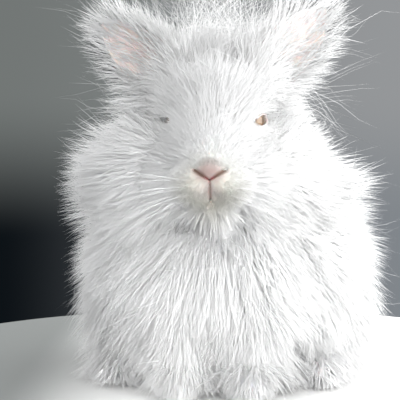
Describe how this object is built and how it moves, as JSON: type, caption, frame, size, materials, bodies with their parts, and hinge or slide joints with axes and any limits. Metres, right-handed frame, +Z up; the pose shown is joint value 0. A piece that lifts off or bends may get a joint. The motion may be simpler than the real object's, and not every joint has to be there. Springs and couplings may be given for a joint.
{
  "type": "angora rabbit",
  "caption": "Life-size still model of a young long-haired white rabbit sitting upright on its four feet, ears spread, wool standing out all round.",
  "frame": {"origin": "on the floor, under the middle of the animal's box", "axes": "+Z up, the animal faces -Y, its left side is +X"},
  "size_m": [0.159, 0.229, 0.1974],
  "materials": {
    "coat": "soft long white wool",
    "ear": "thin pink skin under short white hair",
    "eye": "wet, dark brown"
  },
  "bodies": {
    "root": {"head": "coat", "neck": "coat", "torso": "coat", "tail": "coat", "foreleg_left": "coat", "foreleg_right": "coat", "hindleg_left": "coat", "hindleg_right": "coat", "ear_left": "ear", "ear_right": "ear", "eye_left": "eye", "eye_right": "eye"}
  },
  "joints": []
}
